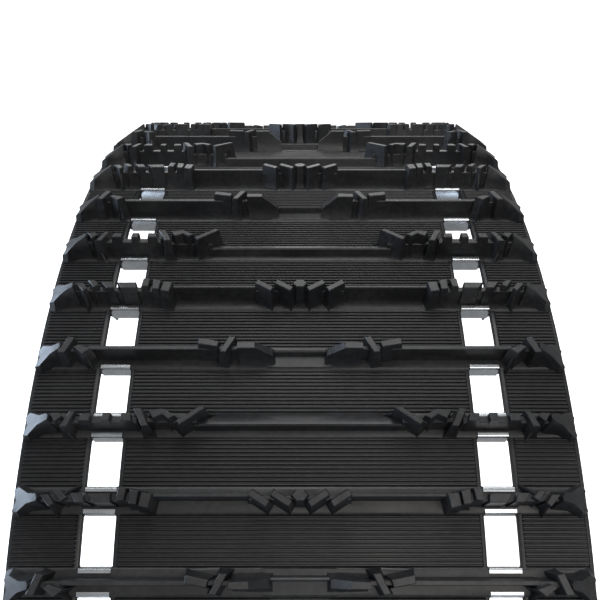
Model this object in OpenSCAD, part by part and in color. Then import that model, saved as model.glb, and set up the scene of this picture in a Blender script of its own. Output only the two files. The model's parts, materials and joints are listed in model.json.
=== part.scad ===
// Endless rubber track for a snow vehicle: three rubber bands side by side, tied
// together by moulded pitch bars that carry the traction lugs, with drive windows
// left open between them. The loop stands on its own on a flattened stretch.
//
// X runs across the belt, Y along the ground run and Z up. The origin is on the
// ground, in the middle of the flattened stretch.

/* [Belt] */
// Width of the belt, from edge to edge
belt_w = 381; // [330:1:508]
// Distance from one pitch bar to the next, along the cord layer
pitch = 50.8; // [45:0.1:64]
// Thickness of the rubber bands between the pitch bars
band_t = 5; // [4:0.5:8]
// Thickness of the woven cord ply inside the bands
ply_t = 1.2; // [0.8:0.1:2]
// Rubber between the edge of the cord ply and the edge of a band
ply_cover = 3; // [2:0.5:6]

/* [Drive windows] */
// Distance between the centres of the two columns of windows
window_span = 265; // [220:1:280]
// Width of a window, across the belt
window_w = 22; // [18:0.5:28]

/* [Pitch bars] */
// Length of a pitch bar along the belt
bar_l = 16; // [13:0.5:18]
// Height of a pitch bar above the outer face of the bands
bar_rise = 1; // [0.5:0.5:3]
// Depth of a pitch bar below the inner face of the bands
bar_drop = 4; // [4:0.5:8]
// Width of the stiffening rod in a pitch bar
rod_w = 8; // [6:0.5:9]
// Thickness of the stiffening rod
rod_t = 2.5; // [2:0.5:3.5]
// Distance from the belt edge to the end of the stiffening rod, which shows there
rod_inset = 1; // [0.5:0.5:6]

/* [Traction lugs] */
// Height of the lug tips above the outer face of the bands
lug_h = 21; // [16:1:30]
// Height of the walls that join the lug blocks
wall_h = 15.5; // [8:0.5:15.5]
// Height of the low ribs in the middle of the belt
rib_h = 7; // [3:0.5:7.5]
// Thickness of a wall or plain rib
wall_t = 3.5; // [2.5:0.5:5]
// Distance from the belt edge to the tip face of the outermost block
edge_inset = 7; // [4:0.5:12]

/* [Drive lugs] */
// Height of a drive lug below the inner face of the bands
drive_h = 22; // [16:1:28]
// Length of a drive lug along the belt at its root
drive_root_l = 25; // [20:1:30]
// Length of a drive lug along the belt at its tip
drive_tip_l = 11; // [8:1:14]
// Width of a drive lug across the belt
drive_w = 18; // [12:1:24]
// Rubber between a window and the drive lug beside it
drive_gap = 6; // [4:0.5:12]

/* [Guide clips] */
// Thickness of the clip steel
clip_t = 1.2; // [1:0.1:1.8]
// Gap between a clip and the window edge on each side
clip_gap = 0.5; // [0.3:0.1:1.5]
// Length of the flange that grips the outer face of the bar
flange_l = 3.5; // [2:0.5:4]
// Height of the guide ears on every third clip
ear_h = 9; // [6:0.5:14]

/* [Loop] */
// Number of pitch bars in each section between two flex lines
bars = 6; // [5:1:7]
// Bend at each gap along the upper run, in degrees
top_bend = 5.7; // [4.6:0.1:6.2]
// Gap left on each side of a flex line
flex_gap = 1.3; // [1:0.1:3]

/* [Hidden] */
node = "all";
sections = 10;
row_types = 3;
eps = 0.01;

// Heights measured outwards from the cord layer, which keeps its length in a bend
band_out = band_t / 2;
bar_out = band_out + bar_rise;
bar_in = band_out + bar_drop;
lug_out = band_out + lug_h;
wall_out = band_out + wall_h;
rib_out = band_out + rib_h;

// Distances from the centre line of the belt
edge_x = belt_w / 2;
window_x = window_span / 2;
window_in = window_x - window_w / 2;
window_end = window_x + window_w / 2;
tip_x = edge_x - edge_inset;

// The ground run is flat and the sides bend a little more than the upper run, which
// keeps each section's chord opposite an equal one, so that the loop always closes
side_bend = (180 - 3 * bars * top_bend) / (2 * bars);
foot_bend = (bars + 1) / 2 * top_bend;
chord_share = [for (k = [0 : bars - 1]) cos((k - (bars - 1) / 2) * top_bend)];
chord_loss = pitch * (bars - sum(chord_share)) / 2;
tilt_reach = 2 * pitch * bars * (sin(bars * top_bend) + sin(bars * (3 * top_bend + side_bend) / 2));
closing = chord_loss / tilt_reach * 180 / PI;

// Bends inside the sections and at the flex lines after them, from the ground run round
inner_bends = [0, top_bend, side_bend, side_bend, top_bend,
               top_bend, top_bend, side_bend, side_bend, top_bend];
mid_bend = (top_bend + side_bend) / 2;
flex_bends = [foot_bend + closing, mid_bend, side_bend, mid_bend, top_bend - closing,
              top_bend - closing, mid_bend, side_bend, mid_bend, foot_bend + closing];

// Running direction of every pitch and the point where it starts, in the Y-Z plane
count = sections * bars;
function sum(v, i = 0) = i < len(v) ? v[i] + sum(v, i + 1) : 0;
function bend_after(i) = (i + 1) % bars == 0 ? flex_bends[floor(i / bars)]
                                              : inner_bends[floor(i / bars)];
headings = [for (i = 0, a = 0; i < count; a = a + bend_after(i), i = i + 1) a];
starts = [for (i = 0, p = [-pitch * bars / 2, lug_out]; i <= count;
               p = p + pitch * [cos(headings[min(i, count - 1)]), sin(headings[min(i, count - 1)])],
               i = i + 1) p];
function outward(a) = [sin(a), -cos(a)];

// Lug row pattern of a bar: 0, 1 and 2 follow one another, away from the front
function row_type(i) = (count - i) % row_types;

NODES = [for (part = ["belt_bands", "lug_bars", "drive_lugs", "guide_clips", "stiffening_rods", "cord_ply"])
             for (s = [1 : sections]) str(part, "_", s < 10 ? "0" : "", s)];

// Blocks of each lug row on one half of the belt. Each is measured from a datum
// (0 centre line, 1 window centre, 2 belt edge): outwards, along, length, thickness, turn
row_blocks = [
    [[0, 12, 0, 15, 4, -32], [0, 26.5, 0, 15, 4, -32],
     [1, -34, 2, 5, 9, -15], [1, -26, 0, 5, 9, -18], [1, -18, -2, 5, 9, -18],
     [1, -4, 0, 12, 6, 0], [1, 9, 0, 8, 6, 0], [2, 37, -2, 6, 11, 30],
     [2, 28, 2, 6, 8, 30], [2, 14, 0, 14, 8, 0]],
    [[1, -60, -1, 21, 4, 29], [1, -40, -2, 16, 5, 0], [1, -26, 0, 13, 4, -60],
     [1, -16, 0, 8, 5, 0], [1, -2, -1, 6, 4, 0], [1, 11, 0, 8, 5, 0],
     [2, 36, 1, 11, 4.5, 62], [2, 27, -1, 6, 5, -30], [2, 14, 0, 14, 8, 0]],
    [[1, -94, 0, 13, 5, 0], [1, -82, 0, 14, 4.5, 53], [1, -68, -1, 15, 5, -8],
     [2, 37, 3, 8, 5, -35], [2, 27, 0, 14, 4.5, 57], [2, 14, 0, 14, 8, 0]],
];
// Where the joining wall of each row starts, measured back from the window centre
wall_starts = [100, 68, 100];
// Side of the square block that stands on its corner in the middle of the first row
diamond = 8;

// Puts a shape drawn round the middle of a pitch, outer side up, in its place
module on_pitch(i) {
    p = starts[i] + pitch / 2 * [cos(headings[i]), sin(headings[i])];
    translate([0, p.x, p.y]) rotate([headings[i], 0, 0]) rotate([0, 180, 0]) children();
}

// A slab that follows one section of the loop, thickness t, from x0 to x1
module section_slab(s, t, x0, x1) {
    first = s * bars;
    last = first + bars - 1;
    ends = [for (i = [first : last + 1])
                let (a0 = headings[max(i - 1, first)], a1 = headings[min(i, last)])
                [starts[i] + (i == first ? flex_gap * [cos(a1), sin(a1)] : [0, 0])
                     - (i > last ? flex_gap * [cos(a0), sin(a0)] : [0, 0]),
                 (a0 + a1) / 2, cos((a1 - a0) / 2)]];
    outer = [for (e = ends) e[0] + t / 2 / e[2] * outward(e[1])];
    inner = [for (k = [len(ends) - 1 : -1 : 0]) ends[k][0] - t / 2 / ends[k][2] * outward(ends[k][1])];
    translate([x0, 0, 0]) rotate([90, 0, 90]) linear_extrude(x1 - x0) polygon(concat(outer, inner));
}

// Three flexible rubber bands, each with a slot for its cord ply
module belt_bands(s) {
    color("#222326") for (b = bands_x()) difference() {
        section_slab(s, band_t, b[0], b[1]);
        section_slab(s, ply_t, b[0] + ply_cover, b[1] - ply_cover);
    }
}
function bands_x() = [[-edge_x, -window_end], [-window_in, window_in], [window_end, edge_x]];

// Woven cord plies that carry the pull, one sealed in each band
module cord_ply(s) {
    color("#b9a77c") for (b = bands_x())
        section_slab(s, ply_t, b[0] + ply_cover, b[1] - ply_cover);
}

// A box centred across and along, from height z0 to z1
module slab(w, l, z0, z1) {
    translate([-w / 2, -l / 2, z0]) cube([w, l, z1 - z0]);
}

// Rubber pitch bar: strips over and under the bands, joined through the windows
module pitch_bar() {
    slab(belt_w, bar_l, band_out, bar_out);
    for (side = [-1, 1]) translate([side * window_x, 0, 0])
        slab(window_w, bar_l, -band_out - eps, band_out + eps);
    difference() {
        slab(belt_w, bar_l, -bar_in, -band_out);
        rod_shape(belt_w + 2 * eps);
    }
}

// Flat glass-fibre rod, in the middle of the strip under the bands
module rod_shape(length) {
    rod_z = -band_out - bar_drop / 2;
    slab(length, rod_w, rod_z - rod_t / 2, rod_z + rod_t / 2);
}

function datum_x(d) = d[0] == 0 ? d[1] : d[0] == 1 ? window_x + d[1] : edge_x - d[1];

// Plan of the full-height blocks of one row
module blocks_plan(type) {
    if (type == 0) rotate(45) square(diamond, center = true);
    for (side = [0, 1], d = row_blocks[type]) mirror([side, 0])
        translate([datum_x(d), d[2]]) rotate(d[5]) square([d[3], d[4]], center = true);
}

// Plan of the walls that join the blocks of one row
module walls_plan(type) {
    wall_x = window_x - wall_starts[type];
    for (side = [-1, 1]) translate([side * (wall_x + tip_x) / 2, 0])
        square([tip_x - wall_x, wall_t], center = true);
}

// One row of traction lugs: a low rib right across, a higher wall on each side and
// full-height blocks along it
module lug_row(type) {
    translate([0, 0, band_out]) linear_extrude(rib_out - band_out) {
        square([2 * window_x, wall_t], center = true);
        walls_plan(type);
        blocks_plan(type);
    }
    translate([0, 0, rib_out]) linear_extrude(wall_out - rib_out) {
        walls_plan(type);
        blocks_plan(type);
    }
    translate([0, 0, wall_out]) linear_extrude(lug_out - wall_out) blocks_plan(type);
}

module lug_bars(s) {
    color("#3a3b3e") for (i = [s * bars : s * bars + bars - 1]) on_pitch(i) {
        pitch_bar();
        lug_row(row_type(i));
    }
}

// Toothed drive lugs on the inner face, one inside each window, saddled over the bar
module drive_lugs(s) {
    root = drive_root_l / 2;
    tip = drive_tip_l / 2;
    saddle = [[-root, -band_out], [-bar_l / 2, -band_out], [-bar_l / 2, -bar_in], [bar_l / 2, -bar_in],
              [bar_l / 2, -band_out], [root, -band_out], [tip, -band_out - drive_h], [-tip, -band_out - drive_h]];
    drive_x = window_in - drive_gap - drive_w / 2;
    color("#2b2c2f") for (i = [s * bars : s * bars + bars - 1]) on_pitch(i)
        for (side = [-1, 1]) translate([side * drive_x - drive_w / 2, 0, 0])
            rotate([90, 0, 90]) linear_extrude(drive_w) polygon(saddle);
}

// Pressed steel clip folded round the bar in a window, some with guide ears
module guide_clip(eared) {
    clip_w = window_w - 2 * clip_gap;
    fold = bar_l / 2 + clip_t;
    slab(clip_w, 2 * fold, -bar_in - clip_t, -bar_in);
    for (end = [0, 1]) mirror([0, end, 0]) {
        translate([-clip_w / 2, bar_l / 2, -bar_in - clip_t]) cube([clip_w, clip_t, bar_out + bar_in + 2 * clip_t]);
        translate([-clip_w / 2, fold - flange_l, bar_out]) cube([clip_w, flange_l, clip_t]);
    }
    if (eared) for (side = [-1, 1])
        translate([side * (clip_w - clip_t) / 2, 0, 0]) slab(clip_t, bar_l, -bar_in - clip_t - ear_h, -bar_in);
}

module guide_clips(s) {
    color("#d5d8dc") for (i = [s * bars : s * bars + bars - 1]) on_pitch(i)
        for (side = [-1, 1]) translate([side * window_x, 0, 0]) guide_clip(row_type(i) == 0);
}

// Glass-fibre rods sealed inside the pitch bars
module stiffening_rods(s) {
    color("#d9cf9a") for (i = [s * bars : s * bars + bars - 1]) on_pitch(i)
        rod_shape(belt_w - 2 * rod_inset);
}

function is_node(part, s) = node == "all" || node == str(part, "_", s < 9 ? "0" : "", s + 1);

for (s = [0 : sections - 1]) {
    if (is_node("belt_bands", s)) belt_bands(s);
    if (is_node("lug_bars", s)) lug_bars(s);
    if (is_node("drive_lugs", s)) drive_lugs(s);
    if (is_node("guide_clips", s)) guide_clips(s);
    if (is_node("stiffening_rods", s)) stiffening_rods(s);
    if (is_node("cord_ply", s)) cord_ply(s);
}
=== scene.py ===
import json
import math

import bmesh
import bpy
import numpy as np
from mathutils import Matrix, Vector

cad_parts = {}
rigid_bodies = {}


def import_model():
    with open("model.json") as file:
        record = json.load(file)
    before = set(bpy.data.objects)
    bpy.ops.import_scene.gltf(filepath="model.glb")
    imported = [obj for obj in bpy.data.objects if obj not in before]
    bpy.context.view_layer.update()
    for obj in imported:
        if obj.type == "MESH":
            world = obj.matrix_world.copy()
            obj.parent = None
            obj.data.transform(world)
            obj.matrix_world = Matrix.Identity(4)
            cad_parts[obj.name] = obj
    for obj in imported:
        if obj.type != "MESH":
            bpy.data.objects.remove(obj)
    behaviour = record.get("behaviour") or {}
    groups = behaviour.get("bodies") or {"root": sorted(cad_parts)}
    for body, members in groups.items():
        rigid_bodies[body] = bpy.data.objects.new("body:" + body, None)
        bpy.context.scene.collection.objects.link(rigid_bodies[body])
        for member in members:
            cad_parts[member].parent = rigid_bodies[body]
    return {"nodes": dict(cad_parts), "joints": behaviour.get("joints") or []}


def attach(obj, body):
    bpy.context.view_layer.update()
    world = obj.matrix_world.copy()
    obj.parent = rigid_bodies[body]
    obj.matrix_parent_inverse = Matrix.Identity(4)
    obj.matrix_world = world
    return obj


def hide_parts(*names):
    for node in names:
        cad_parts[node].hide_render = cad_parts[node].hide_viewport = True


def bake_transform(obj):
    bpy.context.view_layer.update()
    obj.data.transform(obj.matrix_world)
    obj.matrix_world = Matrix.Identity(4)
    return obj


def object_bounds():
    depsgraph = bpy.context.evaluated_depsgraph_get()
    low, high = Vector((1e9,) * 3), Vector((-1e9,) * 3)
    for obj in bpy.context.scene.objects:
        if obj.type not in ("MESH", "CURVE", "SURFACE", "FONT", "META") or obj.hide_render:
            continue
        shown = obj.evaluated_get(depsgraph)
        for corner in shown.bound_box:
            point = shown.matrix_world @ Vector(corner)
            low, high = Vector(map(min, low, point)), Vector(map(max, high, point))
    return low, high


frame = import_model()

cad_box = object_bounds()

# ---------------------------------------------------------------- The loop
# The belt is an endless loop that stands on a flattened stretch. It bends between its
# pitch bars, which stay straight, so its path is a straight run over each bar and an
# arc over each gap. The flex lines between the ten sections come from the frame.
MM = 0.001
SECTIONS = 10
BARS = 6
COUNT = SECTIONS * BARS
ROW_TYPES = 3

flex_at = {j["name"]: j["pos_m"][1:] for j in frame["joints"]}
open_line = [-flex_at["upper_bend_front"][0], flex_at["upper_bend_front"][1]]
flex_lines = np.array([
    flex_at["foot_bend_rear"], flex_at["lower_bend_rear"], flex_at["side_bend_rear"], open_line,
    flex_at["crown_bend_rear"], flex_at["crown_bend_front"], flex_at["upper_bend_front"],
    flex_at["side_bend_front"], flex_at["lower_bend_front"], flex_at["foot_bend_front"]]) / MM
section_starts = np.roll(flex_lines, 1, 0)
section_starts[0] = [-flex_lines[0][0], flex_lines[0][1]]
PITCH = 50.8               # two inches, along the cord layer
BAR_REACH = 9.0            # half of the straight run over a bar
GAP_REACH = PITCH / 2 - BAR_REACH
OPEN_LINE = 3              # the flex line that no joint holds


def along(angle):
    """The running direction at a heading, in Y and Z."""
    return np.stack([np.cos(angle), np.sin(angle)], -1)


def outward(angle):
    """The direction away from the inside of the loop at a heading, in Y and Z."""
    return np.stack([np.sin(angle), -np.cos(angle)], -1)


def pitches():
    """The start and the heading of every pitch, from the flex lines alone."""
    starts, headings = [], []
    places = np.arange(BARS) - (BARS - 1) / 2
    for section in range(SECTIONS):
        chord = flex_lines[section] - section_starts[section]
        shortfall = BARS - np.linalg.norm(chord) / PITCH
        bend = math.sqrt(max(2 * shortfall / (places ** 2).sum(), 0))
        turns = math.atan2(chord[1], chord[0]) + places * bend
        steps = PITCH * along(turns)
        starts.extend(section_starts[section] + np.cumsum(steps, 0) - steps)
        headings.extend(turns)
    return np.array(starts), np.unwrap(headings)


starts, headings = pitches()
bends = np.append(headings[1:], headings[0] + 2 * math.pi) - headings


def on_loop(x, s, h):
    """Points in metres from x across, s along the loop and h out from the cord layer."""
    s = np.asarray(s, float) % (COUNT * PITCH)
    pitch = np.minimum((s / PITCH).astype(int), COUNT - 1)
    t = s - pitch * PITCH
    early, late = t < GAP_REACH, t > PITCH - GAP_REACH
    before = np.where(early, (pitch - 1) % COUNT, pitch)
    vertex = np.where(early, pitch, (pitch + 1) % COUNT)
    bend = bends[before]
    start_turn = headings[before]
    share = np.where(early, t + GAP_REACH, t - PITCH + GAP_REACH) / (2 * GAP_REACH)
    radius = GAP_REACH / np.tan(np.maximum(bend, 1e-5) / 2)
    angle = start_turn + share * np.maximum(bend, 1e-5)
    arc_start = starts[vertex] - GAP_REACH * along(start_turn)
    on_arc = arc_start + radius[..., None] * (outward(angle) - outward(start_turn))
    straight = starts[pitch] + t[..., None] * along(headings[pitch])
    bending = (early | late)[..., None]
    place = np.where(bending, on_arc, straight)
    normal = np.where(bending, outward(angle), outward(headings[pitch]))
    place = place + np.asarray(h, float)[..., None] * normal
    return np.concatenate([np.asarray(x, float)[..., None], place], -1) * MM


def new_object(name, verts, faces, sharp=35):
    """A mesh object at the origin, with smooth faces that break at sharp edges."""
    mesh = bpy.data.meshes.new(name)
    mesh.from_pydata([tuple(v) for v in verts], [], faces)
    tidy = bmesh.new()
    tidy.from_mesh(mesh)
    bmesh.ops.recalc_face_normals(tidy, faces=tidy.faces)
    tidy.to_mesh(mesh)
    tidy.free()
    mesh.polygons.foreach_set("use_smooth", [True] * len(mesh.polygons))
    mesh.set_sharp_from_angle(angle=math.radians(sharp))
    made = bpy.data.objects.new(name, mesh)
    bpy.context.collection.objects.link(made)
    return made


# ---------------------------------------------------------------- Camera and studio
# A lens close above the front of the loop looks down on the upper run. The floor and the
# room are pure white to the lens, as on a product sheet, while the rubber sees a dim room
# with soft lights behind, above and low in front, so its faces stay dark.
CAMERA_TILT = math.radians(31.8)
CAMERA_BACK = 670.8
CAMERA_UP = 792.0
LENS = 45.87
crown = starts[:, 1].max()
arc_radius = PITCH / 2 / math.sin(bends[COUNT // 2 + 1] / 2)
arc_centre = crown - arc_radius

camera_data = bpy.data.cameras.new("camera")
camera_data.lens = LENS
camera_data.sensor_width = 36
camera = bpy.data.objects.new("camera", camera_data)
camera.location = (0, -CAMERA_BACK * MM, (arc_centre + CAMERA_UP) * MM)
camera.rotation_euler = (math.pi / 2 - CAMERA_TILT, 0, 0)
bpy.context.collection.objects.link(camera)
bpy.context.scene.camera = camera
bpy.context.scene.view_settings.view_transform = "Standard"


def linear(colour):
    """Linear RGBA from an sRGB hex colour."""
    parts = [int(colour[i:i + 2], 16) / 255 for i in (1, 3, 5)]
    return [c / 12.92 if c <= 0.04045 else ((c + 0.055) / 1.055) ** 2.4 for c in parts] + [1]


def add(tree, kind, inputs=None, **settings):
    """One node with its settings and its inputs, each a value or another node's socket."""
    made = tree.nodes.new(kind)
    for name, value in settings.items():
        setattr(made, name, value)
    for name, value in (inputs or {}).items():
        if isinstance(value, bpy.types.NodeSocket):
            tree.links.new(value, made.inputs[name])
        else:
            made.inputs[name].default_value = value
    return made


def new_material(name):
    """An empty material and its tree."""
    made = bpy.data.materials.new(name)
    made.use_nodes = True
    made.node_tree.nodes.clear()
    return made, made.node_tree


def studio_floor():
    """Matt white acrylic over a light table, which drowns the shadows."""
    made, tree = new_material("white_acrylic_light_table")
    shader = add(tree, "ShaderNodeBsdfPrincipled",
                 {"Base Color": linear("#f4f4f4"), "Roughness": 0.9, "Specular IOR Level": 0.2,
                  "Emission Color": linear("#ffffff"), "Emission Strength": 0.85})
    add(tree, "ShaderNodeOutputMaterial", {"Surface": shader.outputs["BSDF"]})
    return made


FLOOR_HALF = 9.0
ROOM_LIGHT = 0.4           # what the track gets from the room; the lens sees it at full white
floor = new_object("floor", [(-FLOOR_HALF, -FLOOR_HALF, 0), (FLOOR_HALF, -FLOOR_HALF, 0),
                             (FLOOR_HALF, FLOOR_HALF, 0), (-FLOOR_HALF, FLOOR_HALF, 0)], [(0, 1, 2, 3)])
floor.data.materials.append(studio_floor())
floor.visible_diffuse = False
floor.visible_glossy = False

world = bpy.data.worlds.new("white_room")
world.use_nodes = True
seen = add(world.node_tree, "ShaderNodeLightPath")
strength = add(world.node_tree, "ShaderNodeMapRange",
               {"Value": seen.outputs["Is Camera Ray"], "To Min": ROOM_LIGHT, "To Max": 1.0})
room = world.node_tree.nodes["Background"]
room.inputs["Color"].default_value = linear("#ffffff")
world.node_tree.links.new(strength.outputs["Result"], room.inputs["Strength"])
bpy.context.scene.world = world


def soft_light(name, place, target, size, power, colour):
    """A rectangular soft light that faces a target and isn't seen by the lens."""
    data = bpy.data.lights.new(name, "AREA")
    data.shape = "RECTANGLE"
    data.size, data.size_y = size
    data.energy = power
    data.color = linear(colour)[:3]
    made = bpy.data.objects.new(name, data)
    made.location = place
    aim = np.array(target) - np.array(place)
    pitch_angle = math.atan2(math.hypot(aim[0], aim[1]), -aim[2])
    made.rotation_euler = (pitch_angle, 0, math.atan2(-aim[0], aim[1]))
    made.visible_camera = False
    bpy.context.collection.objects.link(made)
    return made


LOOP_MIDDLE = (0, 0, 0.6)
soft_light("back_light", (0.0, 2.0, 2.1), LOOP_MIDDLE, (1.5, 1.0), 24, "#ffffff")
soft_light("top_light", (0.1, 0.2, 2.9), LOOP_MIDDLE, (0.9, 1.5), 24, "#ffffff")
soft_light("front_light", (0.6, -2.0, 2.5), LOOP_MIDDLE, (1.3, 1.1), 20, "#fffaf4")
soft_light("left_light", (-1.9, 0.3, 1.05), (0, 0, 0.9), (1.5, 0.7), 50, "#d6e8ff")
soft_light("low_left_light", (-1.7, -0.8, 0.25), (0, -0.3, 0.75), (0.9, 0.6), 9, "#cfe4ff")
soft_light("low_light", (0.0, -1.8, 0.15), LOOP_MIDDLE, (1.6, 0.4), 6, "#dcebff")

# ---------------------------------------------------------------- Belt bands
# Three bands of natural-rubber compound lie side by side, five millimetres thick. Fine
# ribs run across their outer face between raised rims, and they bend over every gap.
BELT_W = (cad_box[1][0] - cad_box[0][0]) / MM
WINDOW_X = 132.5
WINDOW_W = 22.0
BAND_OUT = 2.5
EDGE_X = BELT_W / 2
BANDS = [(-EDGE_X, -WINDOW_X - WINDOW_W / 2), (-WINDOW_X + WINDOW_W / 2, WINDOW_X - WINDOW_W / 2),
         (WINDOW_X + WINDOW_W / 2, EDGE_X)]
RIM_W = 3.2
RIM_H = 0.5
EDGE_ROUND = 0.9
RIB_STEP = 2.75
RIB_H = 1.3
RIB_W = 1.75
RIBS = 12
GAP_STEPS = 10


def band_outline(x0, x1):
    """Cross-section of a band, round its edge: rims at both edges of the outer face."""
    top = BAND_OUT + RIM_H
    left = [(x0, -BAND_OUT + EDGE_ROUND), (x0, top - EDGE_ROUND),
            (x0 + 0.3 * EDGE_ROUND, top - 0.3 * EDGE_ROUND), (x0 + EDGE_ROUND, top),
            (x0 + RIM_W - 0.6, top), (x0 + RIM_W, BAND_OUT)]
    right = [(x1 - (x - x0), h) for x, h in reversed(left)]
    under = [(x1 - EDGE_ROUND, -BAND_OUT), (x0 + EDGE_ROUND, -BAND_OUT)]
    return left + right + under


def run_stations(s0, s1):
    """Places along the loop where a band needs a ring: close together over the gaps."""
    stations = [s0, s1]
    for vertex in range(int(s0 / PITCH), int(s1 / PITCH) + 2):
        middle = vertex * PITCH
        stations.extend(middle + GAP_REACH * np.linspace(-1, 1, GAP_STEPS + 1))
    return sorted({round(s, 4) for s in stations if s0 <= s <= s1})


def loft_along(outlines, s0, s1):
    """Closed slabs along the loop, one for each outline."""
    verts, faces = [], []
    stations = run_stations(s0, s1)
    for outline in outlines:
        size = len(outline)
        first = len(verts)
        x, h = np.array(outline).T
        for s in stations:
            verts.extend(on_loop(x, np.full(size, s), h))
        for ring in range(len(stations) - 1):
            a, b = first + ring * size, first + (ring + 1) * size
            faces.extend((a + i, a + (i + 1) % size, b + (i + 1) % size, b + i) for i in range(size))
        faces.append(tuple(range(first, first + size)))
        faces.append(tuple(range(len(verts) - size, len(verts))))
    return verts, faces


def rib_strip(name, length):
    """One rib, lying across the belt, with a round top and sloped ends."""
    profile = [(-RIB_W / 2, -0.4), (-RIB_W / 2, 0.15 * RIB_H), (-RIB_W / 3.4, 0.8 * RIB_H), (0, RIB_H),
               (RIB_W / 3.4, 0.8 * RIB_H), (RIB_W / 2, 0.15 * RIB_H), (RIB_W / 2, -0.4)]
    verts, faces = [], []
    size = len(profile)
    for end in (-1, 1):
        for y, z in profile:
            x = end * (length / 2 - max(z, 0) * 0.8)
            verts.append((-x * MM, y * MM, -z * MM))
    faces.extend((i, (i + 1) % size, size + (i + 1) % size, size + i) for i in range(size))
    faces.append(tuple(range(size)))
    faces.append(tuple(range(size, 2 * size)))
    return new_object(name, verts, faces, sharp=60)


def pieces_tree():
    """Node tree that sets one of a few kinds of piece on every point along the loop."""
    tree = bpy.data.node_groups.new("pieces_along_the_loop", "GeometryNodeTree")
    for name, kind in (("Geometry", "NodeSocketGeometry"), ("Kinds", "NodeSocketCollection"),
                       ("Piece Size", "NodeSocketFloat"), ("Finish", "NodeSocketMaterial")):
        tree.interface.new_socket(name, in_out="INPUT", socket_type=kind)
    tree.interface.new_socket("Geometry", in_out="OUTPUT", socket_type="NodeSocketGeometry")
    given = add(tree, "NodeGroupInput")
    heading = add(tree, "GeometryNodeInputNamedAttribute", {"Name": "heading"}, data_type="FLOAT")
    kind = add(tree, "GeometryNodeInputNamedAttribute", {"Name": "kind"}, data_type="INT")
    angles = add(tree, "ShaderNodeCombineXYZ", {"X": heading.outputs["Attribute"]})
    turn = add(tree, "FunctionNodeEulerToRotation", {"Euler": angles.outputs["Vector"]})
    kinds = add(tree, "GeometryNodeCollectionInfo",
                {"Collection": given.outputs["Kinds"], "Separate Children": True, "Reset Children": True})
    placed = add(tree, "GeometryNodeInstanceOnPoints",
                 {"Points": given.outputs["Geometry"], "Instance": kinds.outputs["Instances"],
                  "Pick Instance": True, "Instance Index": kind.outputs["Attribute"],
                  "Rotation": turn.outputs["Rotation"], "Scale": given.outputs["Piece Size"]})
    real = add(tree, "GeometryNodeRealizeInstances", {"Geometry": placed.outputs["Instances"]})
    finished = add(tree, "GeometryNodeSetMaterial",
                   {"Geometry": real.outputs["Geometry"], "Material": given.outputs["Finish"]})
    add(tree, "NodeGroupOutput", {"Geometry": finished.outputs["Geometry"]})
    return tree


along_loop = pieces_tree()


def kinds_of(name, masters):
    """A collection of the kinds of one piece, in alphabetical order of their names."""
    made = bpy.data.collections.new(name)
    for master in masters:
        bpy.context.collection.objects.unlink(master)
        made.objects.link(master)
    return made


def set_along(name, places, kinds, finish):
    """Pieces set at places along the loop, each (x, s, h, kind), as one plain mesh."""
    x, s, h, kind = (np.array(v, float) for v in zip(*places))
    points = on_loop(x, s, h)
    ahead = on_loop(x, s + 0.05, h) - on_loop(x, s - 0.05, h)
    mesh = bpy.data.meshes.new(name)
    mesh.from_pydata([tuple(p) for p in points], [], [])
    turn = mesh.attributes.new("heading", "FLOAT", "POINT")
    turn.data.foreach_set("value", np.arctan2(ahead[:, 2], ahead[:, 1]))
    which = mesh.attributes.new("kind", "INT", "POINT")
    which.data.foreach_set("value", kind.astype(np.int32))
    made = bpy.data.objects.new(name, mesh)
    bpy.context.collection.objects.link(made)
    modifier = made.modifiers.new("along", "NODES")
    modifier.node_group = along_loop
    inputs = {item.name: item.identifier for item in along_loop.interface.items_tree
              if item.in_out == "INPUT"}
    modifier[inputs["Kinds"]] = kinds
    modifier[inputs["Piece Size"]] = 1.0
    modifier[inputs["Finish"]] = finish
    depsgraph = bpy.context.evaluated_depsgraph_get()
    plain = bpy.data.meshes.new_from_object(made.evaluated_get(depsgraph))
    made.modifiers.clear()
    made.data = plain
    return made


def drop_masters(*collections):
    """Removes the masters once every piece made from them is a plain mesh."""
    for collection in collections:
        for master in list(collection.objects):
            bpy.data.objects.remove(master)
        bpy.data.collections.remove(collection)


def rubber(name, colour, worn, roughness, grain):
    """Moulded rubber: near black, with a soft sheen, a fine mould grain and faint dust."""
    made, tree = new_material(name)
    place = add(tree, "ShaderNodeTexCoord").outputs["Object"]
    patches = add(tree, "ShaderNodeTexNoise", {"Vector": place, "Scale": 22.0, "Detail": 4.0})
    dust = add(tree, "ShaderNodeTexNoise", {"Vector": place, "Scale": 240.0, "Detail": 3.0})
    both = add(tree, "ShaderNodeMath", {0: patches.outputs["Fac"], 1: dust.outputs["Fac"]},
               operation="MULTIPLY")
    shade = add(tree, "ShaderNodeValToRGB", {"Fac": both.outputs["Value"]})
    shade.color_ramp.elements[0].position = 0.15
    shade.color_ramp.elements[0].color = linear(colour)
    shade.color_ramp.elements[1].position = 0.45
    shade.color_ramp.elements[1].color = linear(worn)
    gloss = add(tree, "ShaderNodeMapRange", {"Value": patches.outputs["Fac"], "From Min": 0.3,
                                             "From Max": 0.7, "To Min": roughness - 0.06,
                                             "To Max": roughness + 0.08})
    pits = add(tree, "ShaderNodeTexNoise", {"Vector": place, "Scale": 1 / (grain * MM), "Detail": 2.0})
    relief = add(tree, "ShaderNodeBump", {"Height": pits.outputs["Fac"], "Strength": 0.25,
                                          "Distance": 0.15 * MM})
    shader = add(tree, "ShaderNodeBsdfPrincipled",
                 {"Base Color": shade.outputs["Color"], "Roughness": gloss.outputs["Result"],
                  "Normal": relief.outputs["Normal"], "IOR": 1.52, "Specular IOR Level": 0.35})
    add(tree, "ShaderNodeOutputMaterial", {"Surface": shader.outputs["BSDF"]})
    return made


band_rubber = rubber("natural_rubber_bands", "#17181a", "#27282a", 0.42, 0.5)


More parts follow.
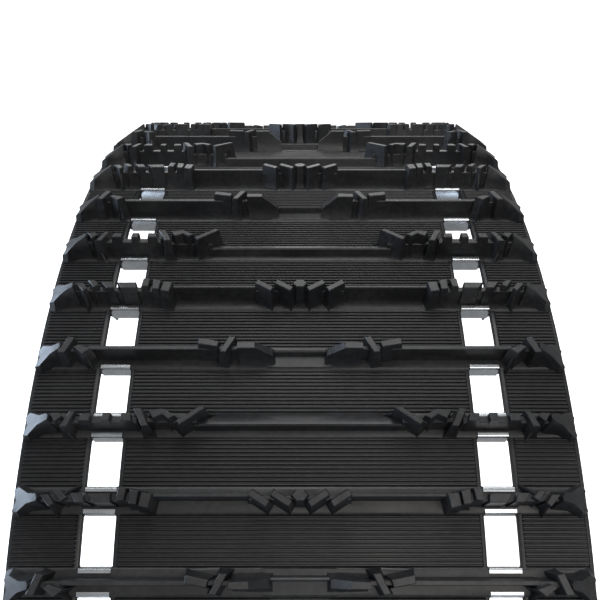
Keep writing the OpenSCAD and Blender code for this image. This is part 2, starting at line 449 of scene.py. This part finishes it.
def cut_place(section):
    """The bar where the pieces of two flex lines meet, hidden under its lug row."""
    return (section * BARS + BARS // 2 + 0.5) * PITCH


def body_name(section):
    """The body of a section, counted from 0 and round the loop."""
    return f"section_{section % SECTIONS + 1:02d}"


def band_piece(name, s0, s1):
    """A stretch of the three bands with its ribs."""
    made = new_object(name, *loft_along([band_outline(*b) for b in BANDS], s0, s1))
    made.data.materials.append(band_rubber)
    places = []
    for vertex in range(int(s0 / PITCH), int(s1 / PITCH) + 2):
        for rib in range(RIBS):
            s = vertex * PITCH + (rib - (RIBS - 1) / 2) * RIB_STEP
            if s0 < s < s1:
                places.extend(((b[0] + b[1]) / 2, s, BAND_OUT, int(k == 1)) for k, b in enumerate(BANDS))
    ribs = set_along(name + "_ribs", places, rib_kinds, band_rubber)
    with bpy.context.temp_override(active_object=made, selected_editable_objects=[made, ribs],
                                   selected_objects=[made, ribs]):
        bpy.ops.object.join()
    return made


def across_line(piece):
    """Bakes the placement of a piece that lies over a flex line into its mesh."""
    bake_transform(piece)


OPEN_HALF = 0.4            # half of the narrow gap at the flex line that no joint holds


def lay_over_lines(prefix, node, make):
    """Lays a bending layer in stretches that meet under the bars, one over each flex line."""
    for line in range(SECTIONS):
        number = f"_{line + 1:02d}"
        if line != OPEN_LINE:
            piece = make(prefix + number, cut_place(line), cut_place(line + 1))
            across_line(piece)
            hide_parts(node + number)
            continue
        middle = (line + 1) * BARS * PITCH
        tail = make(prefix + "_tail", cut_place(line), middle - OPEN_HALF)
        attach(tail, body_name(line))
        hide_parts(node + number)
        head = make(prefix + "_head", middle + OPEN_HALF, cut_place(line + 1))
        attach(head, body_name(line + 1))


rib_kinds = kinds_of("rib_kinds", [
    rib_strip("rib_0_outer", BANDS[0][1] - BANDS[0][0] - 2 * RIM_W + 1.2),
    rib_strip("rib_1_middle", BANDS[1][1] - BANDS[1][0] - 2 * RIM_W + 1.2)])
lay_over_lines("belt", "belt_bands", band_piece)
drop_masters(rib_kinds)

# ---------------------------------------------------------------- Pitch bars and lugs
# Every pitch has a stiff bar of harder rubber across the whole belt, moulded in one with
# a row of traction lugs. The lugs are drafted blocks on a wall, with flared feet, in
# three patterns that follow one another. Outlines are for the left half of a row.
BAR_HALF = 8.0
BAR_OUT = 3.5
BAR_IN = 6.5
TIP = flex_lines[0][1]
ROOT = BAND_OUT - 0.4
WALL_TIP = 18.0
NOTCH_TIP = 17.4
FOOT = 3.2                 # how far a block's foot stands out past its tip face
SLIM = 1.6                 # the same over a window, where the clip leaves less room
# Share of the foot at heights from the root up to the bevelled tip
FLARE = [(0, 1.0), (1.8, 0.68), (5.0, 0.42), (9.0, 0.27)]
BEVEL = 0.5


def grown(outline, reach):
    """An outline moved outwards by reach, with its corners kept sharp."""
    points = np.array(outline, float)
    before, after = np.roll(points, 1, 0), np.roll(points, -1, 0)
    turn = 1 if (points[:, 0] * after[:, 1] - after[:, 0] * points[:, 1]).sum() > 0 else -1
    d0 = (points - before) / np.linalg.norm(points - before, axis=1)[:, None]
    d1 = (after - points) / np.linalg.norm(after - points, axis=1)[:, None]
    n0 = turn * np.stack([d0[:, 1], -d0[:, 0]], 1)
    n1 = turn * np.stack([d1[:, 1], -d1[:, 0]], 1)
    corner = (n0 + n1) / np.maximum(1 + (n0 * n1).sum(1), 0.45)[:, None]
    return points + reach * corner


def block(outline, tip=TIP, foot=FOOT):
    """Rings of a moulded block: its tip face is the outline, and its foot is wider."""
    levels = [(ROOT + up, foot * share) for up, share in FLARE if ROOT + up < tip - 2]
    levels += [(tip - BEVEL, 0.15), (tip, -0.6 * BEVEL)]
    return [[(x, y, z) for x, y in grown(outline, reach)] for z, reach in levels]


def turned(x, y, length, thick, degrees):
    """A rectangle round (x, y), turned from the line across the belt."""
    c, s = math.cos(math.radians(degrees)), math.sin(math.radians(degrees))
    corners = [(-length / 2, -thick / 2), (length / 2, -thick / 2),
               (length / 2, thick / 2), (-length / 2, thick / 2)]
    return [(x + a * c - b * s, y + a * s + b * c) for a, b in corners]


def wall(x0, x1, y=0.0, thick=3.0, tip=WALL_TIP, foot=SLIM):
    """A wall along the bar, from x0 to x1."""
    return block(turned((x0 + x1) / 2, y, x1 - x0, thick, 0), tip, foot)


def ridge(x0, x1, section):
    """A low ridge along the bar with its own cross-section."""
    return [[(x, y, z) for y, z in section] for x in (x0, x1)]


def buttress(x, y, x_foot, y_foot, tip=TIP - 3):
    """A sharp fin that runs from a block's side down to the belt."""
    a, b = np.array([x, y], float), np.array([x_foot, y_foot], float)
    side = np.array([-(b - a)[1], (b - a)[0]]) / np.linalg.norm(b - a)
    low = [(*(a - side * 2.6), ROOT), (*(b - side), ROOT), (*(b + side), ROOT), (*(a + side * 2.6), ROOT)]
    high = [(*(a - side * 0.9), tip), (*(b - side * 0.5), ROOT + 1), (*(b + side * 0.5), ROOT + 1),
            (*(a + side * 0.9), tip)]
    return [low, high]


def fishtail(swing):
    """The outermost block: a waisted top that falls away to two wings at the belt edge."""
    fall = 0.68
    inner = -EDGE_X + 21.5
    top = [(-EDGE_X + 2.4, 5.5), (-EDGE_X + 6.5, 7.6), (-176.2, 3.2), (-169.6, 2.4), (-168, 0),
           (-168.6, -2.6), (-176.4, -3.8), (-EDGE_X + 7, -8.6), (-EDGE_X + 2.4, -7.4), (-EDGE_X + 5, -1)]
    top = [(x, y + swing * (inner - x) / 10) for x, y in top]
    foot = [(-EDGE_X + 0.5, 9.5), (-EDGE_X + 5, 11.2), (-176, 7), (-166.5, 6.4), (-164, 0), (-165, -6.6),
            (-176, -7.6), (-EDGE_X + 5.5, -12), (-EDGE_X + 0.5, -10.5), (-EDGE_X + 0.8, -1)]
    heights = [min(TIP, TIP - fall * (inner - x)) for x, _ in top]
    rings = []
    for share in (0, 0.1, 0.5, 0.97):
        bow = share ** 0.6
        rings.append([(a + (c - a) * bow, b + (d - b) * bow, ROOT + (h - ROOT) * share)
                      for (a, b), (c, d), h in zip(foot, top, heights)])
    rings.append([(x, y, h) for (x, y), h in zip(grown(top, -0.35), heights)])
    return rings


def row_chevrons():
    """Chevrons round a diamond in the middle, long thin walls, a cluster over each window."""
    return [
        block(turned(-12, -0.7, 13.5, 4, -32)), block(turned(-26.5, -0.7, 13.5, 4, -32)),
        wall(-33, 0.5, 0.2, 2.4, NOTCH_TIP - 1), wall(-100, -32, 1.8, 1.9, WALL_TIP + 0.5),
        block([(-101.7, 2.7), (-95.2, 1.9), (-97, -6.7), (-103.1, -5.5)]),
        block([(-109.5, 5), (-103.8, 3.8), (-104.8, -4.3), (-109.6, -4)]),
        block([(-116.8, 5.8), (-111.9, 5.4), (-113, -1.6), (-117.7, -2)]),
        block([(-117.5, 4.4), (-97.5, 1.2), (-98.5, -4.6), (-117.5, -1.2)], NOTCH_TIP),
        wall(-172, -112, 0, 4.2, NOTCH_TIP),
        block([(-136.1, 1.9), (-122.1, 2), (-121.5, -3.4), (-132.3, -3.4)], foot=SLIM),
        block([(-147.7, 2.3), (-140.1, 2.7), (-137.9, -3.2), (-143.5, -3.2)], foot=SLIM),
        block([(-157.9, 3.8), (-153.9, 4.2), (-149.8, -0.1), (-153.2, -2.4)], foot=2.4),
        block([(-166.8, 1.1), (-161.6, 1.5), (-157.8, -3.6), (-160.3, -5.9)], foot=2.4),
        buttress(-152.5, 2.2, -145.5, 10.8), buttress(-160, -4.4, -159, -11.4), fishtail(0)]


def row_toothed():
    """Long diagonals and a bent block inside each window, and a toothed wall over it."""
    return [
        block([(-82.7, -3.2), (-67.2, 7.2), (-64.2, 5.6), (-80.1, -5.6)]),
        block([(-101.6, 4.1), (-92.2, 5), (-84.1, 0.6), (-87.8, -1.7), (-92.5, 1.5), (-98.4, -1.1)]),
        block([(-111.8, 5.3), (-106.8, 5.5), (-101.3, -6.3), (-105.7, -6.5)]),
        wall(-112, -70, 0.2, 3.2, NOTCH_TIP - 3, 2.6),
        block([(-119.8, 1.8), (-113.7, 1.5), (-112.7, -2.9), (-119.9, -2.9)], foot=2.2),
        block([(-132.1, 1.8), (-127.1, 2), (-127.7, -2.9), (-132.7, -2.9)], foot=SLIM),
        block([(-146.6, 1.8), (-140.5, 1.8), (-141, -2.9), (-148.2, -2.9)], foot=SLIM),
        wall(-172, -110, -0.5, 4.6, NOTCH_TIP),
        block([(-154.6, 3.2), (-151.2, 3.2), (-155.4, -6.9), (-159.8, -6.9)], foot=2.4),
        block([(-167.8, 1.8), (-161.7, 2.4), (-159.7, 0), (-163.7, -3.4)], foot=2.4),
        buttress(-163.5, -0.6, -153.5, -11.8, TIP - 1), buttress(-66.5, 5.4, -56, 7.6, 14),
        ridge(-72, 0.5, [(-4.4, ROOT), (-2.6, 9.8), (-1.5, 10.8), (0.6, 10.3), (6.4, 5.4), (9.6, ROOT)]),
        fishtail(-1.2)]


def row_walled():
    """A long plain wall over each window, between an inner group and an edge group."""
    slope = [[(-43.5, -6.2, ROOT), (-16.8, -7, ROOT), (-16.8, 7.4, ROOT), (-43.5, 6.2, ROOT)],
             [(-43.5, -3.6, ROOT + 5), (-18.2, -4.4, ROOT + 5), (-18.2, 4.4, ROOT + 5),
              (-43.5, 3.6, ROOT + 5)],
             [(-44, -3, 12.5), (-19.4, -2.9, 12.5), (-19.6, 2.8, 12.5), (-44, 2.6, 12.5)],
             [(-44.6, -2.6, TIP - BEVEL), (-31.6, -2.5, TIP - BEVEL), (-31.8, 2.4, TIP - BEVEL),
              (-44.4, 1.9, TIP - BEVEL)],
             [(-44.4, -2.3, TIP), (-31.9, -2.2, TIP), (-32.1, 2.1, TIP), (-44.2, 1.6, TIP)]]
    return [
        slope, block([(-50.2, 6.7), (-45.6, 6.2), (-52.2, -5.6), (-56.2, -5.1)]),
        block([(-71.3, 5.7), (-57.1, 2.9), (-58.2, -1.3), (-71.7, 1.1)]),
        wall(-150, -34, 0.8, 2.8), wall(-172, -148, 0, 3.4, NOTCH_TIP),
        block([(-159.2, -1.4), (-155.9, 0.2), (-147.1, -2.7), (-152.1, -6.7)], foot=2.4),
        block([(-164, 6.7), (-159.6, 5.7), (-164.8, -5.9), (-169.4, -5.6)], foot=2.4),
        buttress(-151.5, -4.6, -146.5, -11.8, TIP - 1),
        ridge(-24, 0.5, [(-9.4, ROOT), (-7.6, 4.4), (0.7, 5), (1.7, 9.3), (2.4, 9.8), (3.3, 9.2),
                         (4.5, 4.5), (8.4, 4.1), (9.6, ROOT)]),
        fishtail(-1.8)]


def pitch_bar():
    """The bar: a shouldered strip on the bands, a core in the windows, a strip inside."""
    shoulder = [(-10, ROOT), (-8.6, BAR_OUT - 0.2), (-7.6, BAR_OUT + 0.1), (7.6, BAR_OUT + 0.1),
                (8.6, BAR_OUT - 0.2), (10, ROOT)]
    core = [(-BAR_HALF, -BAR_IN), (BAR_HALF, -BAR_IN), (BAR_HALF, BAR_OUT), (-BAR_HALF, BAR_OUT)]
    inside = [(-BAR_HALF - 1.2, -BAND_OUT + 0.4), (BAR_HALF + 1.2, -BAND_OUT + 0.4),
              (BAR_HALF, -BAND_OUT - 1.2), (BAR_HALF - 0.2, -BAR_IN + 0.8), (BAR_HALF - 1, -BAR_IN),
              (-BAR_HALF + 1, -BAR_IN), (-BAR_HALF + 0.2, -BAR_IN + 0.8), (-BAR_HALF, -BAND_OUT - 1.2)]
    (edge, window_out), window_in = BANDS[0], BANDS[1][0]
    parts = [ridge(edge + 0.6, window_out - 0.3, shoulder), ridge(window_in + 0.3, 0.5, shoulder),
             ridge(window_out - 1, window_in + 1, core),
             ridge(edge + 1.2, window_out, inside), ridge(window_in, 0.5, inside)]
    for x, inwards in ((window_out, 1), (window_in, -1)):
        for side in (-1, 1):
            fillet = [(x - 2 * inwards, side * 7.4), (x + 1.1 * inwards, side * 8.6),
                      (x - 2 * inwards, side * 12)]
            parts.append([[(a, b, z) for a, b in fillet] for z in (-BAND_OUT + 0.3, BAND_OUT - 0.3)])
    return parts


def closed(rings):
    """The faces of a closed loft through rings of equal length."""
    size = len(rings[0])
    verts = [p for ring in rings for p in ring]
    faces = [(k * size + i, k * size + (i + 1) % size, (k + 1) * size + (i + 1) % size, (k + 1) * size + i)
             for k in range(len(rings) - 1) for i in range(size)]
    faces.append(tuple(range(size)))
    faces.append(tuple(range(len(verts) - size, len(verts))))
    return verts, faces


def in_metres(points):
    """Points drawn as (x, s, height) in millimetres, the way a piece on the loop holds them."""
    return [(x * MM, -y * MM, -z * MM) for x, y, z in points]


def joined(pieces):
    """Joins objects into the first one."""
    with bpy.context.temp_override(active_object=pieces[0], selected_editable_objects=pieces,
                                   selected_objects=pieces):
        bpy.ops.object.join()
    return pieces[0]


def welded(name, halves, middle=()):
    """One closed skin round every overlapping part and its mirror image."""
    parts = list(middle)
    for rings in halves:
        parts.append(rings)
        parts.append([[(-x, y, z) for x, y, z in ring] for ring in rings])
    skins = []
    for rings in parts:
        verts, faces = closed(rings)
        skins.append(new_object(name + "_part", in_metres(verts), faces))
    whole, rest = skins[0], joined(skins[1:])
    union = whole.modifiers.new("weld", "BOOLEAN")
    union.operation = "UNION"
    union.solver = "EXACT"
    union.use_self = True
    union.object = rest
    depsgraph = bpy.context.evaluated_depsgraph_get()
    skin = bpy.data.meshes.new_from_object(whole.evaluated_get(depsgraph))
    whole.modifiers.clear()
    whole.data = skin
    whole.name = name
    bpy.data.objects.remove(rest)
    cleaned = bmesh.new()
    cleaned.from_mesh(skin)
    bmesh.ops.remove_doubles(cleaned, verts=cleaned.verts, dist=0.02 * MM)
    bmesh.ops.dissolve_limit(cleaned, angle_limit=math.radians(0.5), verts=cleaned.verts,
                             edges=cleaned.edges)
    bmesh.ops.triangulate(cleaned, faces=[f for f in cleaned.faces if len(f.verts) > 4])
    cleaned.to_mesh(skin)
    cleaned.free()
    skin.polygons.foreach_set("use_smooth", [True] * len(skin.polygons))
    skin.set_sharp_from_angle(angle=math.radians(28))
    return whole


def bars_of(section):
    """The bars of a section with their lug row patterns."""
    return [(bar, (COUNT - bar) % ROW_TYPES) for bar in range(section * BARS, section * BARS + BARS)]


def fit_to_bars(prefix, node, places_of, kinds, finish):
    """Sets pieces on the bars of every section, which carry them along stiffly."""
    for section in range(SECTIONS):
        number = f"_{section + 1:02d}"
        places = [(x, (bar + 0.5) * PITCH, 0, kind)
                  for bar, row in bars_of(section) for x, kind in places_of(row)]
        made = set_along(prefix + number, places, kinds, finish)
        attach(made, body_name(section))
        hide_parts(node + number)
    drop_masters(kinds)


diamond = [(-5.2, 1.1), (-2.4, 4.3), (2.4, 4.3), (5.2, 1.1), (2.4, -2.1), (-2.4, -2.1)]
row_kinds = kinds_of("row_kinds", [welded("row_0_chevrons", pitch_bar() + row_chevrons(), [block(diamond)]),
                                   welded("row_1_toothed", pitch_bar() + row_toothed()),
                                   welded("row_2_walled", pitch_bar() + row_walled())])
fit_to_bars("lug_rows", "lug_bars", lambda row: [(0, row)], row_kinds,
            rubber("tread_rubber_lugs", "#1c1d1f", "#313234", 0.42, 0.6))

# ---------------------------------------------------------------- Drive lugs
# Moulded rubber teeth on the inner face, one inside each window on every bar, which the
# drive sprockets push. Their flanks curve in from a wide root to a blunt, rounded tip.
DRIVE_X = 106.5
# Depth below the cord layer, half length along the belt and half width across it
DRIVE_RINGS = [(2.0, 14.0, 10.6), (3.3, 12.6, 9.5), (5.5, 11.6, 9.0), (9.0, 10.4, 8.8), (13.0, 9.0, 8.6),
               (17.0, 7.6, 8.4), (21.0, 6.3, 8.1), (23.4, 5.4, 7.6), (24.3, 4.6, 6.8), (24.5, 3.6, 5.8)]
CORNER = 1.8


def rounded(half_x, half_y, corner, steps=3):
    """A rectangle with round corners."""
    outline = []
    for k, (sx, sy) in enumerate(((1, 1), (-1, 1), (-1, -1), (1, -1))):
        for step in range(steps + 1):
            a = math.radians(90 * (k + step / steps))
            outline.append((sx * (half_x - corner) + corner * math.cos(a),
                            sy * (half_y - corner) + corner * math.sin(a)))
    return outline


tooth_rings = [[(x, y, -depth) for x, y in rounded(half_w, half_l, CORNER)]
               for depth, half_l, half_w in DRIVE_RINGS]
tooth_verts, tooth_faces = closed(tooth_rings)
tooth = new_object("tooth", in_metres(tooth_verts), tooth_faces, sharp=50)
fit_to_bars("drive_teeth", "drive_lugs", lambda row: [(-DRIVE_X, 0), (DRIVE_X, 0)],
            kinds_of("tooth_kinds", [tooth]), rubber("drive_rubber_teeth", "#131416", "#1e1f21", 0.5, 0.7))

# ---------------------------------------------------------------- Guide clips
# Pressed and zinc-plated spring steel, folded round the bar in every window so that the
# slide rails run on steel. The clips on the first row have two ears that guide the rail.
CLIP_T = 1.2
CLIP_HALF_W = 10.5
FLANGE_L = 3.5
BEND_R = 1.7
EAR_REACH = 10.2


def plated_steel():
    """Bright zinc over pressed steel: fine draw lines across the clip and a soft, uneven gloss."""
    made, tree = new_material("zinc_plated_pressed_steel")
    place = add(tree, "ShaderNodeTexCoord").outputs["Object"]
    drawn = add(tree, "ShaderNodeMapping", {"Vector": place, "Scale": (60, 1500, 1500)})
    lines = add(tree, "ShaderNodeTexNoise",
                {"Vector": drawn.outputs["Vector"], "Scale": 1.0, "Detail": 3.0})
    cloud = add(tree, "ShaderNodeTexNoise", {"Vector": place, "Scale": 120.0, "Detail": 3.0})
    shade = add(tree, "ShaderNodeValToRGB", {"Fac": cloud.outputs["Fac"]})
    shade.color_ramp.elements[0].position = 0.3
    shade.color_ramp.elements[0].color = linear("#b0b4b8")
    shade.color_ramp.elements[1].position = 0.7
    shade.color_ramp.elements[1].color = linear("#c0c4c8")
    gloss = add(tree, "ShaderNodeMapRange",
                {"Value": lines.outputs["Fac"], "From Min": 0.3, "From Max": 0.7,
                 "To Min": 0.22, "To Max": 0.3})
    relief = add(tree, "ShaderNodeBump",
                 {"Height": lines.outputs["Fac"], "Strength": 0.05, "Distance": 0.03 * MM})
    shader = add(tree, "ShaderNodeBsdfPrincipled",
                 {"Base Color": shade.outputs["Color"], "Metallic": 1.0, "Roughness": gloss.outputs["Result"],
                  "Normal": relief.outputs["Normal"]})
    add(tree, "ShaderNodeOutputMaterial", {"Surface": shader.outputs["BSDF"]})
    return made


def clip_section():
    """Cross-section of the folded strip, as the quads between its two faces."""
    half, out, inn = BAR_HALF + CLIP_T, BAR_OUT + CLIP_T, -BAR_IN - CLIP_T
    corners = [(half, out, 0), (half, inn, 1), (-half, inn, 2), (-half, out, 3)]
    path = [((half - FLANGE_L, out), (half - FLANGE_L, out - CLIP_T))]
    for y, z, quarter in corners:
        sy, sz = (1 if y > 0 else -1), (1 if z > 0 else -1)
        for step in range(5):
            a = math.radians(90 - 90 * quarter - 90 * step / 4)
            away = np.array([math.cos(a), math.sin(a)])
            centre = np.array([y - sy * BEND_R, z - sz * BEND_R])
            path.append((tuple(centre + BEND_R * away), tuple(centre + (BEND_R - CLIP_T) * away)))
    path.append(((-half + FLANGE_L, out), (-half + FLANGE_L, out - CLIP_T)))
    return path


def folded_strip():
    """The clip without ears."""
    path = clip_section()
    verts, faces = [], []
    for x in (-CLIP_HALF_W, CLIP_HALF_W):
        for outer, inner in path:
            verts.extend([(x, *outer), (x, *inner)])
    size, last = 2 * len(path), len(path) - 1
    for k in range(last):
        a, b = 2 * k, 2 * k + 2
        faces.extend([(a, b, b + size, a + size), (a + 1, a + 1 + size, b + 1 + size, b + 1),
                      (a, a + 1, b + 1, b), (a + size, b + size, b + 1 + size, a + 1 + size)])
    faces.extend([(0, size, size + 1, 1), (2 * last, 2 * last + 1, size + 2 * last + 1, size + 2 * last)])
    return verts, faces


def ear(side):
    """A rounded ear that stands up from one end of the clip on the inner side."""
    base, top = -BAR_IN - CLIP_T / 2, -BAR_IN - EAR_REACH
    arc = [(5.4 * math.sin(a), top + 3.2 - 3.2 * math.cos(a)) for a in np.radians(np.linspace(-80, 80, 9))]
    outline = [(-BAR_HALF + 0.4, base), *arc, (BAR_HALF - 0.4, base)]
    outer, inner = side * CLIP_HALF_W, side * (CLIP_HALF_W - CLIP_T)
    return [[(x, y, z) for y, z in outline] for x in (inner, outer)]


def clip(name, eared):
    """A whole clip, with an ear at each end or without."""
    pieces = [folded_strip()] + [closed(ear(side)) for side in (-1, 1) if eared]
    return joined([new_object(name, in_metres(verts), faces, sharp=40) for verts, faces in pieces])


clip_kinds = kinds_of("clip_kinds", [clip("clip_0_plain", False), clip("clip_1_eared", True)])
fit_to_bars("clips", "guide_clips",
            lambda row: [(side * WINDOW_X, int(row == 0)) for side in (-1, 1)], clip_kinds, plated_steel())

# ---------------------------------------------------------------- Stiffening rods
# Pultruded rods of glass fibre in polyester resin, one in every bar. Only their cut ends
# show, at the belt edges: pale straw with streaks of fibre along the rod.


def pultruded_rod():
    """Straight glass rovings in amber resin: long fine streaks and a dull, slightly rough skin."""
    made, tree = new_material("pultruded_glass_fibre")
    place = add(tree, "ShaderNodeTexCoord").outputs["Object"]
    drawn = add(tree, "ShaderNodeMapping", {"Vector": place, "Scale": (12, 1400, 1400)})
    fibres = add(tree, "ShaderNodeTexNoise",
                 {"Vector": drawn.outputs["Vector"], "Scale": 1.0, "Detail": 4.0})
    shade = add(tree, "ShaderNodeValToRGB", {"Fac": fibres.outputs["Fac"]})
    shade.color_ramp.elements[0].position = 0.35
    shade.color_ramp.elements[0].color = linear("#a3986a")
    shade.color_ramp.elements[1].position = 0.65
    shade.color_ramp.elements[1].color = linear("#d8cf9f")
    relief = add(tree, "ShaderNodeBump",
                 {"Height": fibres.outputs["Fac"], "Strength": 0.3, "Distance": 0.1 * MM})
    shader = add(tree, "ShaderNodeBsdfPrincipled",
                 {"Base Color": shade.outputs["Color"], "Roughness": 0.5, "IOR": 1.55,
                  "Normal": relief.outputs["Normal"]})
    add(tree, "ShaderNodeOutputMaterial", {"Surface": shader.outputs["BSDF"]})
    return made


rod_finish = pultruded_rod()
for section in range(SECTIONS):
    for place in frame["nodes"][f"stiffening_rods_{section + 1:02d}"].material_slots:
        place.material = rod_finish

# ---------------------------------------------------------------- Cord ply
# A woven polyester ply lies in the middle of each band and carries the pull. It is dipped
# for bonding and sealed in rubber, and it bends over the gaps with the bands.
PLY_HALF = 0.6
PLY_COVER = 3.0


def woven_cord():
    """Tan dipped polyester: cords a millimetre and a half apart, crossed by finer threads."""
    made, tree = new_material("woven_polyester_cord")
    place = add(tree, "ShaderNodeTexCoord").outputs["Object"]
    cords = add(tree, "ShaderNodeTexWave",
                {"Vector": place, "Scale": 1 / (1.5 * MM) / 20, "Distortion": 0.4}, bands_direction="X")
    threads = add(tree, "ShaderNodeTexWave",
                  {"Vector": place, "Scale": 1 / (3 * MM) / 20, "Distortion": 0.4}, bands_direction="Y")
    weave = add(tree, "ShaderNodeMath", {0: cords.outputs["Fac"], 1: threads.outputs["Fac"]},
                operation="ADD")
    shade = add(tree, "ShaderNodeValToRGB", {"Fac": weave.outputs["Value"]})
    shade.color_ramp.elements[0].color = linear("#6e5b34")
    shade.color_ramp.elements[1].color = linear("#b9a77c")
    relief = add(tree, "ShaderNodeBump",
                 {"Height": weave.outputs["Value"], "Strength": 0.6, "Distance": 0.3 * MM})
    shader = add(tree, "ShaderNodeBsdfPrincipled", {"Base Color": shade.outputs["Color"], "Roughness": 0.8,
                                                    "Normal": relief.outputs["Normal"]})
    add(tree, "ShaderNodeOutputMaterial", {"Surface": shader.outputs["BSDF"]})
    return made


ply_finish = woven_cord()


def ply_piece(name, s0, s1):
    """A stretch of the three plies."""
    plies = [[(b[0] + PLY_COVER, -PLY_HALF), (b[0] + PLY_COVER, PLY_HALF),
              (b[1] - PLY_COVER, PLY_HALF), (b[1] - PLY_COVER, -PLY_HALF)] for b in BANDS]
    made = new_object(name, *loft_along(plies, s0, s1))
    made.data.materials.append(ply_finish)
    return made


lay_over_lines("ply", "cord_ply", ply_piece)
